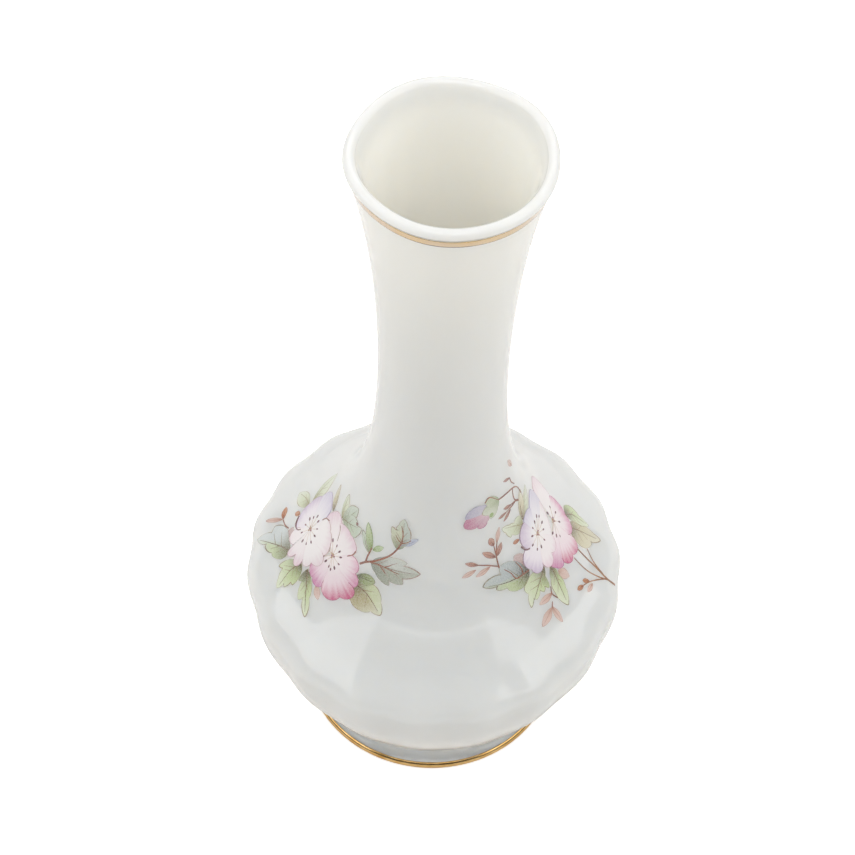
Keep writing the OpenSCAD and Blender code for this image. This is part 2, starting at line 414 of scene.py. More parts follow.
# %% [markdown]
# ## Laying a drawing on the vase
#
# A printed transfer is flat until it is wetted and slid on to the ware, where it takes the shape
# of the wall. Every leaf, petal and stem here is drawn flat in millimetres about its own anchor,
# an azimuth and a length up the wall, and then laid on. Each is a closed film a few hundredths
# of a millimetre thick, or up to a quarter where it lies over others, and carries its own paint
# in an attribute. The rims stay sharp and the face stays smooth, as a fired transfer's do.

# %% Laying
# Each film's under side is this far inside the glaze, in mm
SUNK = 0.03
sheets = {}


def laid(anchor, x, y, lift):
    """Where a place of a drawing about an anchor comes on the lobed wall, raised by a lift."""
    s = anchor[1] + y
    r, z, out_r, out_z = (np.interp(s, along, v) for v in np.hstack([skin, outward]).T)
    azimuth = anchor[0] + np.degrees(x / r)
    radius = r * swell(azimuth, z) + lift * out_r
    a = np.radians(azimuth)
    return np.stack([radius * np.sin(a), -radius * np.cos(a), z + lift * out_z], -1) * MM


def flat(anchor, places):
    """Where places on the wall come in the flat drawing about an anchor."""
    places = np.array(places, float)
    x = np.radians(places[:, 0] - anchor[0]) * np.interp(places[:, 1], along, skin[:, 0])
    return np.stack([x, places[:, 1] - anchor[1]], -1)


def cross(a, b):
    return a[..., 0] * b[..., 1] - a[..., 1] * b[..., 0]


def film(sheet, anchor, drawing, lift, paint):
    """Lays a grid of drawing points as a thin closed film, face outwards."""
    n, m = drawing.shape[:2]
    paint = np.broadcast_to(paint, (n, m, 3))
    if cross(drawing[1:-1, -1] - drawing[1:-1, 0], drawing[2:, 0] - drawing[:-2, 0]).sum() < 0:
        drawing, paint = drawing[:, ::-1], paint[:, ::-1]
    store = sheets.setdefault(sheet, {"points": [], "faces": [], "paint": [], "rims": []})
    start = sum(len(p) for p in store["points"])
    for height in (lift, -SUNK):
        points = laid(anchor, drawing[..., 0], drawing[..., 1], height)
        store["points"].append(points.reshape(-1, 3))
        store["paint"].append(paint.reshape(-1, 3))
    at = start + np.arange(n * m).reshape(n, m)
    below = n * m
    quads = np.stack([at[:-1, :-1], at[:-1, 1:], at[1:, 1:], at[1:, :-1]], -1).reshape(-1, 4)
    rim = np.concatenate([at[0, :-1], at[:-1, -1], at[-1, :0:-1], at[:0:-1, 0]])
    after = np.roll(rim, -1)
    skirt = np.stack([rim + below, after + below, after, rim], -1)
    store["faces"] += [quads, quads[:, ::-1] + below, skirt]
    store["rims"] += [np.stack([rim, after], -1), np.stack([rim, after], -1) + below]


def mix(a, b, share):
    """Between two colours, or rows of them, by a share or a row of shares."""
    share = np.asarray(share)[..., None]
    return np.asarray(a) * (1 - share) + np.asarray(b) * share


def resample(path, count):
    """The same path with evenly spaced points."""
    run = np.r_[0, np.cumsum(np.hypot(*np.diff(path, axis=0).T))]
    at = np.linspace(0, run[-1], count)
    return np.stack([np.interp(at, run, path[:, i]) for i in (0, 1)], -1)


def smooth_path(points, steps=8):
    """A curve through given points, by Catmull and Rom's rule."""
    p = np.asarray(points, float)
    p = np.vstack([2 * p[0] - p[1], p, 2 * p[-1] - p[-2]])
    t = np.linspace(0, 1, steps, endpoint=False)[:, None]
    pieces = [0.5 * (2 * b + (c - a) * t + (2 * a - 5 * b + 4 * c - d) * t**2
                     + (3 * b - a - 3 * c + d) * t**3)
              for a, b, c, d in zip(p[:-3], p[1:-2], p[2:-1], p[3:])]
    return np.vstack([*pieces, p[-2:-1]])


def arches(points, rises, bluntness, side, steps=12):
    """A rim from point to point. Each stretch bulges to the left by its rise, or to the right."""
    v = (1 - np.cos(np.pi * np.linspace(0, 1, steps, endpoint=False))) / 2
    parts = []
    for a, b, rise in zip(points[:-1], points[1:], rises):
        way = b - a
        left = side * np.array([-way[1], way[0]]) / (np.hypot(*way) + 1e-9)
        bump = rise * (4 * v * (1 - v)) ** bluntness
        parts.append(a + v[:, None] * way + bump[:, None] * left)
    return np.vstack([*parts, points[-1:]])


def ribbon(sheet, anchor, path, width, lift, paint):
    """A thin line of paint along a path of the drawing. Its width may vary."""
    way = np.gradient(path, axis=0)
    way /= np.hypot(*way.T)[:, None] + 1e-9
    half = np.broadcast_to(width, len(path))[:, None] / 2
    side = np.stack([way[:, 1], -way[:, 0]], -1) * half
    paint = np.broadcast_to(paint, (len(path), 3))[:, None]
    film(sheet, anchor, np.stack([path - side, path + side], 1), lift, paint)


def stem(sheet, places, width=0.45, end=0.25, colour="#99573A", lift=0.05):
    """A painted stem through places on the wall, thinning to its end."""
    path = smooth_path(flat(places[0], places))
    share = np.linspace(0, 1, len(path))
    paint = mix(linear(colour), linear("#74402E"), 0.3 + 0.3 * np.sin(9 * share))
    ribbon(sheet, places[0], path, width + (end - width) * share, lift, paint)


# %% [markdown]
# ## Leaves
#
# A leaf has a rib from its stalk to its tip and an edge on each side. A small leaf's edges are
# plain arches, and a large one's go from tooth to tooth. Painters shade a leaf dark where it
# comes from under a flower, make one half cooler or paler than the other, and line it in brown.


# %% Leaf
TONES = {
    # at the stalk, left of the rib, right of the rib, at the tip, the line
    "green": ("#45390F", "#BFCE98", "#CBD6AE", "#E2E7D0", "#8C6C48"),
    "green_blue": ("#3A2E14", "#BCC99A", "#AEB7B8", "#C2C8C4", "#6A4A38"),
    "green_olive": ("#4A3A1C", "#C4CCA2", "#B0A67E", "#DDDFC8", "#84563C"),
    "grey": ("#7E8476", "#C4C8C1", "#A0A594", "#BCC0B4", "#8C523C"),
    "grey_green": ("#7C8360", "#C6CAAE", "#B6C0B6", "#C2CAC0", "#8A5A42"),
    "green_grey": ("#8A9470", "#BCC8B6", "#B4C2A8", "#CDD6CA", "#7C6048"),
    "mist": ("#6E6C4C", "#C6D2AA", "#CDD4D4", "#D8DCDA", "#7C5A48"),
    "calyx": ("#98A47A", "#CDD2BE", "#BAC2A4", "#D3D8C8", "#A09470"),
    "blue": ("#8E90A2", "#B2B9CC", "#AFB6CA", "#C2C9D8", "#8C88A0"),
    "dark": ("#44441E", "#84905E", "#929E6E", "#AAB488", "#54502C"),
    "fresh": ("#77894A", "#A6B986", "#A9BC8B", "#C9D4B0", "#77894A"),
    "olive": ("#55442A", "#C4BC96", "#D0C9A8", "#E8E4D4", "#94744F"),
    "pale": ("#8C8A58", "#CBD3B3", "#D2D9BD", "#E2E6D6", "#A39470"),
    "tan": ("#B98F7C", "#D6B8AC", "#D6BAAE", "#DFC8BE", "#B4836E"),
    "dusk": ("#8A625C", "#B79A98", "#BDA2A0", "#C7B0AE", "#9A746C"),
    "brown": ("#7C4534", "#B4826F", "#BC8E7C", "#C49A88", "#7A4030"),
    "rust": ("#94502C", "#B4744C", "#C08660", "#CB9876", "#94502C"),
}


def leaf(sheet, spine, left=(), right=(), bulge=0.2, tone="green", veins=3, lift=0.03):
    base = spine[0]
    dark, one, other, end, line = (np.array(linear(c)) for c in TONES[tone])
    rib = smooth_path(flat(base, spine))
    length = np.hypot(*np.diff(rib, axis=0).T).sum()
    rows = int(max(14, 3 * length))
    rib = resample(rib, rows)
    edges = []
    for side, teeth in ((1, left), (-1, right)):
        points = flat(base, [spine[0], *teeth, spine[-1]])
        stretches = np.hypot(*np.diff(points, axis=0).T)
        rises = 0.11 * stretches if teeth else [bulge * length]
        edges.append(resample(arches(points, rises, 0.8, side), 2 * rows - 1))
    outline = [edge[::2] for edge in edges]
    across = np.linspace(0, 1, 6)[:, None, None]
    grid = np.concatenate([outline[0] + across[:-1] * (rib - outline[0]),
                           rib + across * (outline[1] - rib)]).transpose(1, 0, 2)
    t, u = np.meshgrid(np.linspace(0, 1, rows), np.linspace(-1, 1, 11), indexing="ij")
    paint = mix(one, other, ease(u, -0.12, 0.12))
    paint = mix(paint, end, 0.75 * ease(t + 0.15 * np.abs(u), 0.45, 1.1))
    paint = mix(paint, dark, 0.95 * (1 - ease(t + 0.08 * np.abs(u), 0.05, 0.56)) ** 1.2)
    film(sheet, base, grid, lift, paint)
    thin = min(0.24, 0.10 + 0.012 * length)
    for edge in edges:
        run = np.linspace(0, 1, len(edge))
        patchy = 0.55 + 0.45 * np.sin(8 * run + length)
        fade = ease(run, 0.25, 0.6) * patchy
        ribbon(sheet, base, edge, thin * fade + 0.02, lift + 0.012, mix(line, one, 0.2))
    if veins:
        middle = rib[: int(0.9 * rows)]
        run = np.linspace(0, 1, len(middle))
        ribbon(sheet, base, middle, 1.5 * thin * (1 - 0.75 * run), lift + 0.014,
               mix(line, dark, 0.5))
    for k in range(veins - 1):
        for edge, late in zip(outline, (0, 0.12)):
            start = 0.14 + late + 0.5 * k / veins
            a, b = rib[int(start * rows)], edge[int((start + 0.26) * rows)]
            path = a + np.linspace(0, 0.7, 7)[:, None] * (b - a)
            ribbon(sheet, base, path, thin * np.linspace(1, 0.3, 7), lift + 0.013,
                   mix(line, one, 0.25))


# %% [markdown]
# ## Blossoms
#
# Each blossom is a handful of petals about one centre. A petal's rim is a run of round lobes
# between notches. It is nearly the white of the glaze at the throat, and the colour is stippled
# in from the rim, so it is streaky, and deepest on the petals that hang lowest. A ring of dark
# anthers on fine threads goes on last.


# %% Blossom
PETALS = {
    # throat, body, rim, outline
    "rose": ("#F2EAEA", "#EEDCE2", "#C24478", "#8E3560"),
    "orchid": ("#F2EAEA", "#EDDAE2", "#C678A4", "#8E3C68"),
    "pink": ("#F3ECEC", "#F0E2E6", "#D084AA", "#A8506F"),
    "blush": ("#F3EEED", "#F1E9EA", "#E3C8D4", "#B07C84"),
    "shell": ("#F3EFEE", "#F1ECEC", "#E6D4DA", "#A5766C"),
    "mauve": ("#F2EFEF", "#ECE4EB", "#C8B6CE", "#7E3E5A"),
    "lilac": ("#F2F0EF", "#EAE6EC", "#CDC6DA", "#A79ABC"),
    "bud": ("#DDC0CA", "#D0B0BC", "#BA6C8E", "#8E3560"),
    "heather": ("#CCC6D0", "#C0BBCA", "#AEA8BE", "#8F84AC"),
}


def petal(sheet, centre, notches, rises, tone, lift, depth=0.5, outline=0.14, seed=0):
    """One petal, from a centre to a rim of lobes between notches."""
    throat, inner, rim, line = (np.array(linear(c)) for c in PETALS[tone])
    points = flat(centre, notches)
    side = -np.sign(cross(points[:-1], points[1:]).sum())
    path = arches(points, rises, 0.5, side)
    t, u = np.meshgrid(np.linspace(0.03, 1, 26), np.linspace(-1, 1, len(path)), indexing="ij")
    streak = 0.5 + 0.3 * np.sin(23 * u + 3 * seed) + 0.2 * np.sin(41 * u + 5 * seed + 3 * t)
    reach = np.hypot(*path.T)
    away = t * reach / reach.max()
    share = ease(away + 0.12 * (streak - 0.5), 1 - depth, 1.02)
    paint = mix(throat, inner, ease(t, 0.15, 0.6))
    paint = mix(paint, rim, share * (0.82 + 0.18 * streak))
    paint = mix(paint, rim, 0.25 * ease(np.abs(u), 0.85, 1.0) * ease(t, 0.3, 0.7))
    film(sheet, centre, t[..., None] * path, lift, paint)
    run = np.linspace(0, 1, len(path))
    width = outline * (0.45 + 0.55 * np.sin(9 * run + seed) ** 2)
    ribbon(sheet, centre, path, width, lift + 0.012, mix(line, rim, 0.5))


def dot(sheet, centre, at, size, colour, lift, turn=0, long=1.0):
    a, b = np.meshgrid(np.linspace(-1, 1, 6), np.linspace(-1, 1, 6))
    disc = np.stack([a * np.sqrt(1 - b**2 / 2), long * b * np.sqrt(1 - a**2 / 2)], -1)
    up = heading(turn)
    disc = disc[..., :1] * np.array([up[1], -up[0]]) + disc[..., 1:] * up
    film(sheet, centre, np.array(at) + size / 2 * disc, lift, linear(colour))


def anthers(sheet, centre, places, lift=0.22):
    """Dark anthers on pale threads, about a tan heart."""
    for k, tip in enumerate(flat(centre, places)):
        run = np.linspace(0.2, 0.88, 6)[:, None]
        ribbon(sheet, centre, run * tip, 0.12, lift, linear("#D9C6BA"))
        turn = math.degrees(math.atan2(*tip))
        dark = ("#5E2238", "#6C3046", "#7E4656")[k % 3]
        dot(sheet, centre, tip, 0.46 + 0.08 * math.sin(2.3 * k), dark, lift + 0.02, turn, 1.9)
    for k in range(7):
        near = heading(52 * k + 20) * (0.3 + 0.35 * (k % 2))
        dot(sheet, centre, near, 0.5, ("#B08A6A", "#8E4A66", "#C0A48C")[k % 3], lift + 0.02)

# %% [markdown]
# ## The left spray
#
# A transfer is printed back to front, so what lies lowest is laid first here: the leaves, then
# the pink blossom, then the mauve one over it. All places are an azimuth in degrees, where 0
# faces the viewer, and millimetres up the wall from the waist.

# %% Left leaves
sheet = "left_leaves"
leaf(sheet, [(-98.5, 67), (-104, 64.8), (-109.8, 60)], bulge=0.19, tone="pale", lift=0.02)
leaf(sheet, [(-99.5, 68.3), (-105, 71), (-111, 76.5)], bulge=0.28, tone="pale", lift=0.03)
leaf(sheet, [(-82.5, 78.8), (-88, 81.2), (-96, 82.5)], bulge=0.2, tone="olive", lift=0.03)
leaf(sheet, [(-72.5, 82), (-76.5, 84.6), (-79.5, 88)], bulge=0.24, tone="pale", lift=0.02)
leaf(sheet, [(-71.5, 82), (-67.5, 85.5), (-63.5, 89.8)], bulge=0.24, tone="green_grey", lift=0.03)
leaf(sheet, [(-71, 82.6), (-62, 84.6), (-53.8, 86.6)],
     [(-64, 87), (-59.2, 86.8), (-58, 86)], [(-66, 82), (-57.5, 82), (-54.5, 84)],
     tone="green_grey", lift=0.05)
leaf(sheet, [(-87.6, 59.6), (-91.4, 62)], bulge=0.34, tone="dusk", veins=0, lift=0.03)
leaf(sheet, [(-81, 60.8), (-86.5, 56.9), (-93.9, 48.4)],
     [(-80, 57.6), (-84, 54.7), (-84.6, 54.9), (-89.2, 52.2), (-89.8, 52.6)],
     [(-86.5, 60.4), (-92.6, 59.2), (-96.2, 54.7), (-93.8, 53.8)], tone="mist", lift=0.04)
leaf(sheet, [(-72, 63.6), (-72.8, 59), (-70.3, 54)],
     [(-68.4, 62.6), (-66.9, 58.7), (-68.5, 58.6), (-68.8, 56.1), (-70, 56.5)],
     [(-76.6, 61), (-78, 56.4), (-76, 57.4), (-73.4, 55.2)], tone="green", lift=0.03)
leaf(sheet, [(-67.2, 64.8), (-60.5, 61.6), (-53.3, 56.9)], [(-61, 64), (-57, 61)],
     [(-66.6, 60.9), (-65, 62), (-60.2, 58.3), (-59.4, 60)], tone="green", lift=0.04)
leaf(sheet, [(-58.6, 65), (-53.4, 62.8)], bulge=0.24, tone="tan", veins=0, lift=0.03)
leaf(sheet, [(-43.5, 73.4), (-34, 73), (-24, 69.6)],
     [(-38, 75.3), (-32, 76), (-28.2, 75), (-25.8, 72.6)],
     [(-44.5, 71), (-40, 69), (-34, 68.3), (-30.4, 68.8), (-29, 69.5)],
     tone="green_olive", lift=0.03)
leaf(sheet, [(-43, 75.6), (-32, 76.7)], [(-38, 77.5), (-34.4, 77.6)], [(-37, 74.6)],
     tone="dark", veins=2, lift=0.05)
leaf(sheet, [(-41.5, 82.8), (-46, 84.2), (-52.6, 86.8)], bulge=0.17, tone="green_grey", lift=0.03)
leaf(sheet, [(-41.3, 83.4), (-43.6, 87.2), (-50.8, 89.9)], bulge=0.15, tone="fresh", lift=0.04)
leaf(sheet, [(-40.4, 84.2), (-34, 86.8)], bulge=0.2, tone="fresh", veins=0, lift=0.03)
leaf(sheet, [(-38.5, 81), (-28, 82), (-8, 83.1)],
     [(-33, 84), (-26, 85.4), (-16.6, 85.3), (-19, 84.2)],
     [(-34, 79.2), (-24.3, 77.7), (-25.5, 79.1), (-17, 79.3), (-18.3, 80.8)],
     tone="grey", lift=0.03)
leaf(sheet, [(-23, 89.6), (-17, 91.2), (-11.8, 92.9)], bulge=0.16, tone="blue", veins=1,
     lift=0.03)
leaf(sheet, [(-24.6, 88.2), (-22.8, 91), (-23.5, 97.7)],
     [(-28.5, 89.5), (-31, 91.8), (-31.8, 93.9), (-28.4, 93.4), (-27, 95.4)],
     [(-20.2, 89.8), (-17.2, 93.2), (-20.4, 95.8)], tone="grey_green", lift=0.04)
dot(sheet, (-58.8, 86.4), (0, 0), 0.9, "#7E5244", 0.07)
print("left leaves:", sum(len(f) for f in sheets[sheet]["faces"]), "faces")

# %% Left twigs
sheet = "left_twigs"
leaf(sheet, [(-98.2, 57.2), (-104, 57)], bulge=0.22, tone="rust", veins=1)
leaf(sheet, [(-98.2, 57), (-100, 51)], bulge=0.11, tone="tan", veins=1)
leaf(sheet, [(-96.3, 63.9), (-98.6, 61.8)], bulge=0.28, tone="rust", veins=0)
stem(sheet, [(-92.2, 60), (-95, 58.3), (-98, 57.2)], 0.4)
stem(sheet, [(-44.6, 78.6), (-41.5, 80.2), (-36, 82.2), (-29, 85.3), (-25, 88), (-22.6, 90.6)],
     0.55, 0.4, lift=0.08)
stem(sheet, [(-41.8, 80.3), (-42, 82), (-41.3, 84.6)], 0.45, 0.35, lift=0.08)
stem(sheet, [(-39, 80.9), (-32, 81.8), (-20, 81.7)], 0.32, 0.15, lift=0.07)
stem(sheet, [(-29.5, 82), (-27.5, 82.6), (-25.4, 83.6)], 0.25, 0.12, lift=0.07)
stem(sheet, [(-32.5, 81.6), (-30, 80.9), (-28, 80.3)], 0.25, 0.12, lift=0.07)
stem(sheet, [(-22.6, 90.4), (-22.8, 93), (-24.8, 95.4)], 0.34, 0.2, lift=0.07)
stem(sheet, [(-22.6, 90.4), (-25.4, 91), (-27.8, 92)], 0.3, 0.15, lift=0.07)
stem(sheet, [(-22.6, 90.4), (-19.5, 91), (-16.5, 92)], 0.3, 0.15, lift=0.07)

# %% Left blossoms
sheet, centre = "left_pink_blossom", (-61.5, 73.8)
petal(sheet, centre, [(-82.6, 76.2), (-80, 80), (-71, 81.5), (-64.8, 77.2)], [0.5, 0.9, 0.3],
      "blush", 0.07, 0.4, seed=1)
petal(sheet, centre, [(-70.5, 80.5), (-59, 82.3), (-50.4, 80.4), (-53.4, 77.4)], [1.0, 0.8, 0.5],
      "blush", 0.09, 0.4, seed=2)
petal(sheet, centre, [(-68.6, 68), (-62.4, 65.2), (-56.2, 68)], [1.3, 2.1], "orchid", 0.09,
      0.45, seed=3)
petal(sheet, centre, [(-53.6, 77.7), (-44.2, 75.6), (-47.6, 71.9)], [2.1, 2.9], "pink", 0.11,
      0.5, seed=4)
petal(sheet, centre, [(-45.2, 72.4), (-45.4, 67.8), (-56.8, 67.4)], [2.9, 2.7], "rose", 0.13,
      0.48, seed=5)
anthers(sheet, centre, [
    (-69, 74.8), (-67.5, 76.1), (-63, 76.5), (-59.3, 76.3), (-56.7, 75.6), (-55.4, 73.9),
    (-56.2, 72.2), (-57.5, 71), (-59.3, 71.1), (-62.7, 71.1), (-65.7, 71.2), (-66.3, 73.4)],
    lift=0.15)
stem(sheet, [(-50.3, 80.4), (-51, 79), (-53.6, 77.4)], 0.35, 0.2, "#A0603E", 0.15)
stem(sheet, [(-70, 80.6), (-67.5, 79.8), (-64.8, 77.4)], 0.3, 0.15, "#B49A90", 0.12)

sheet, centre = "left_mauve_blossom", (-84, 69)
petal(sheet, centre, [(-98.4, 72.6), (-97.4, 77), (-84.4, 77.9), (-82.9, 74.4)], [0.6, 1.1, 0.4],
      "lilac", 0.16, 0.6, seed=1)
petal(sheet, centre, [(-82.9, 74.4), (-73, 76.2), (-66.2, 71)], [1.5, 1.6], "shell", 0.18,
      0.35, seed=2)
petal(sheet, centre, [(-98.2, 73), (-99.2, 68), (-87.4, 64.5)], [0.9, 2.5], "mauve", 0.18,
      0.42, seed=3)
petal(sheet, centre, [(-67.4, 71.2), (-68.2, 66.8), (-73.6, 65)], [2.3, 1.9], "shell", 0.20,
      0.35, seed=4)
petal(sheet, centre, [(-88.6, 65), (-82, 62.6), (-77.4, 62.8), (-72.6, 64.6)],
      [2.9, 2.8, 2.7], "blush", 0.22, 0.4, seed=5)
anthers(sheet, centre, [
    (-87.8, 72.1), (-84.5, 72.4), (-80.8, 71.7), (-78.4, 70.4), (-77, 68.7), (-78.2, 66.9),
    (-80.9, 65.8), (-85.3, 65.7), (-88, 67.2), (-89.7, 68.8), (-89, 70.4)], lift=0.24)
stem(sheet, [(-95.5, 63.9), (-92, 63), (-88.5, 63.9), (-87.3, 65.3)], 0.35, 0.3, "#6A3048", 0.24)
stem(sheet, [(-83.2, 74.2), (-82, 75.8), (-79, 76.9)], 0.3, 0.2, "#8C5A48", 0.24)

# %% [markdown]
# ## The right spray
#
# The right spray has the same kinds of piece, with a bud on a looped twig, two little sprigs,
# and bare stems that run down from under the pink blossom.

# %% Right leaves
sheet = "right_leaves"
leaf(sheet, [(69.3, 86), (73, 90), (80, 93)], bulge=0.2, tone="olive", lift=0.03)
leaf(sheet, [(71, 86.3), (79, 88.6), (91, 89.5)], bulge=0.2, tone="pale", lift=0.02)
leaf(sheet, [(67.6, 85.2), (60, 87.6), (49.2, 90.3)],
     [(60, 84.7), (56, 86.4), (54, 86), (51.4, 88.3)],
     [(67.6, 88.2), (63, 88.9), (61, 88.2), (56, 89.3)], tone="pale", lift=0.03)
leaf(sheet, [(55.6, 76.2), (51, 80.8)], bulge=0.36, tone="dusk", veins=0, lift=0.02)
leaf(sheet, [(56, 74.5), (42, 75.9), (27.2, 77.9)],
     [(52, 72.6), (46, 72.3), (40.6, 73.8), (40.2, 74.7), (34.2, 75.7), (35.6, 76.5)],
     [(54, 76.6), (49, 79.9), (44, 81), (39.6, 80.9), (39.3, 78.7), (33, 79.3)],
     tone="green_blue", veins=2, lift=0.04)
leaf(sheet, [(64.8, 71.4), (57, 69.6), (47.4, 66.3)],
     [(62, 69.5), (60.3, 66.4), (59, 67.8), (56.9, 66.9), (55.6, 68.2), (51.7, 66.9), (50.6, 68)],
     [(58, 72.9), (52.5, 72.7), (48.2, 71.3), (49.4, 69.6)], tone="green", lift=0.03)
leaf(sheet, [(68.6, 69.9), (65.4, 64.5), (62.6, 59)], [(68.6, 66), (67, 62.4)],
     [(63.5, 67.4), (61.2, 64.2)], tone="green", lift=0.05)
leaf(sheet, [(69.8, 66.8), (72.3, 62.8)], bulge=0.3, tone="tan", veins=0, lift=0.03)
leaf(sheet, [(94.5, 66), (96.5, 60), (96.8, 53.6)], [(99.5, 63.5), (100.2, 59), (98.4, 55.6)],
     [(90.3, 63.5), (89.8, 59), (93.4, 56.8), (94.2, 57.2)], tone="olive", lift=0.03)
leaf(sheet, [(100.4, 66.5), (103, 62.6), (101.6, 56.8)], [(105.6, 66), (107.2, 62.4), (104.3, 60)],
     [(99.8, 62.5), (100, 59)], tone="green", lift=0.04)
leaf(sheet, [(52.4, 99.3), (46, 98.6), (35.4, 98.4)],
     [(50, 97.3), (46, 95.8), (42, 95.5), (41, 97)],
     [(50, 101), (45, 102.1), (39.5, 101.6), (41, 100.2)], tone="calyx", veins=0, lift=0.10)
dot(sheet, (43.2, 96.5), (0, 0), 1.3, "#93AB6C", 0.12)

# %% Right twigs
sheet = "right_twigs"
for spine, bulge, tone in (
        ([(40, 87.3), (37.8, 90.1)], 0.28, "brown"), ([(42.4, 87.6), (47.4, 91.4)], 0.15, "tan"),
        ([(39.2, 84), (31, 87.1)], 0.17, "brown"), ([(40.6, 84.1), (45.9, 86.9)], 0.2, "brown"),
        ([(27.2, 84.1), (18.9, 85.7)], 0.15, "brown"), ([(25.2, 83.1), (16.2, 81.9)], 0.15, "tan"),
        ([(34.2, 82.4), (24.5, 81.2)], 0.15, "tan"), ([(64, 93.7), (55, 95.1)], 0.13, "brown"),
        ([(57.2, 93.5), (48.3, 93.7)], 0.12, "brown"), ([(62, 92.9), (52.2, 91.7)], 0.12, "brown"),
        # The small brown leaf from (71.2, 100.9) to (61, 102.9) is a painted reflection of a lower
        # twig in the glaze, not part of the print
        ([(71.2, 100.9), (61, 102.9)], 0.1, "brown"), ([(79, 102.6), (73, 106.6)], 0.16, "tan"),
        ([(59.4, 83.2), (53.8, 84)], 0.22, "rust"), ([(59.8, 64.9), (51.5, 65.4)], 0.18, "tan"),
        ([(55.6, 62.4), (47.7, 60.4)], 0.2, "tan"), ([(56, 62.6), (56, 57.6)], 0.16, "tan"),
        ([(74, 57.6), (70.6, 58.7)], 0.25, "rust"), ([(77.3, 56.3), (75.5, 58.4)], 0.24, "rust"),
        ([(77.3, 55.3), (73, 55.7)], 0.2, "tan")):
    leaf(sheet, spine, bulge=bulge, tone=tone, veins=1)
for places, width in (
        ([(39.3, 80.8), (39.7, 84), (41.4, 86.4), (43, 88)], 0.36),
        ([(39.5, 81.2), (33, 83), (26.5, 84.3)], 0.36),
        ([(39.8, 84), (39.8, 86), (39.9, 87.6)], 0.3),
        ([(73.2, 91.7), (69, 93), (64, 93.8)], 0.36), ([(69, 93), (62, 93.3), (57, 93.5)], 0.28),
        ([(53, 99.2), (62, 98.4), (70, 97.3), (76, 95.7), (79, 93.6), (79.6, 91.8)], 0.34),
        ([(73, 92), (69.2, 93.6), (69.3, 95.8), (71, 97.2)], 0.3),
        ([(75, 97.2), (71.5, 99.2), (70.6, 101)], 0.28),
        ([(39, 101.4), (44, 102.2), (52.6, 99.1)], 0.26),
        ([(60.6, 62.8), (59.6, 64.8), (61.2, 66.4)], 0.3), ([(55.8, 62.3), (57.5, 63.4)], 0.24),
        ([(55.5, 74.6), (51, 75), (46.8, 75.4), (45, 77.6), (42, 79.6)], 0.34),
        ([(51.6, 75), (52, 76.8), (50.4, 79.2)], 0.3)):
    stem(sheet, places, width, 0.6 * width, lift=0.12)
for places, width in (
        ([(83.2, 47.4), (83, 51), (85, 56), (86.7, 62)], 0.6),
        ([(83, 50), (81.5, 53.5), (80.7, 58), (81.4, 63)], 0.4),
        ([(83.4, 52), (86, 55.6), (90, 58.4)], 0.4),
        ([(82.8, 51), (80, 54), (77, 56.3), (73.6, 57.8)], 0.36)):
    stem(sheet, places, width, 0.7 * width, "#B07C50")

# %% Right blossoms and bud
sheet, centre = "right_bud", (42, 98.3)
petal(sheet, centre, [(41, 99.6), (27, 101), (22.6, 98.4)], [1.0, 0.7], "heather", 0.05, seed=1)
petal(sheet, centre, [(23, 98.6), (20.4, 96.6), (30, 95.3), (38.6, 95.4), (41, 97.2)],
      [0.3, 0.7, 1.1, 0.4], "bud", 0.07, 0.8, seed=2)

sheet, centre = "right_pink_blossom", (91, 72.8)
petal(sheet, centre, [(97, 83), (112, 79), (105.4, 72.4)], [1.2, 1.3], "blush", 0.07, 0.4, seed=1)
petal(sheet, centre, [(105, 73), (99.6, 66.8)], [2.0], "pink", 0.09, 0.5, seed=2)
petal(sheet, centre, [(100.2, 67.6), (90.2, 66.2)], [2.3], "pink", 0.11, 0.5, seed=3)
petal(sheet, centre, [(68.8, 71.5), (70.2, 67.8), (76.6, 67.2)], [0.7, 1.6], "orchid", 0.09,
      0.5, seed=4)
petal(sheet, centre, [(76.4, 67.2), (82, 63.8), (90, 66.4)], [1.9, 2.9], "rose", 0.13,
      0.42, seed=5)
anthers(sheet, centre, [
    (83.5, 72.6), (84, 71), (85.5, 69.6), (93, 70.1), (97, 71.5), (97.6, 74), (92, 75.5)],
    lift=0.15)

sheet, centre = "right_mauve_blossom", (74, 78.6)
petal(sheet, centre, [(80, 84.6), (94, 85.2), (93.4, 79.2)], [1.3, 0.9], "lilac", 0.16,
      0.6, seed=1)
petal(sheet, centre, [(93.6, 80.2), (86, 74.8), (80.6, 73)], [0.9, 0.5], "shell", 0.17,
      0.3, seed=2)
petal(sheet, centre, [(68.4, 84.8), (80.6, 84.4)], [1.7], "lilac", 0.18, 0.6, seed=3)
petal(sheet, centre, [(63.4, 78.7), (69.2, 85.2)], [2.8], "mauve", 0.20, 0.7, seed=4)
petal(sheet, centre, [(62.6, 79.3), (57.4, 74.2), (65.5, 72.8)], [2.2, 2.1], "mauve", 0.18,
      0.42, seed=5)
petal(sheet, centre, [(81.4, 73.4), (73.5, 71.4), (65, 72.6)], [2.0, 2.5], "blush", 0.22,
      0.35, seed=6)
anthers(sheet, centre, [
    (66, 78.4), (69.2, 80.1), (73, 81.2), (77.2, 81.3), (81.8, 81.1), (83.6, 79.9),
    (82.3, 78.1), (79.5, 76.9), (75.2, 75.4), (70.5, 75.5), (67.2, 76.3)], lift=0.24)
stem(sheet, [(58.3, 81.2), (60, 79.5), (63, 78.6)], 0.4, 0.3, "#6A3048", 0.24)

# %% [markdown]
# ## The back spray
#
# Such a vase has a smaller third spray at the back, to balance the two. It is one blossom with
# round petals set by a rule, a few leaves and a forked twig, kept simple and in the same paints.

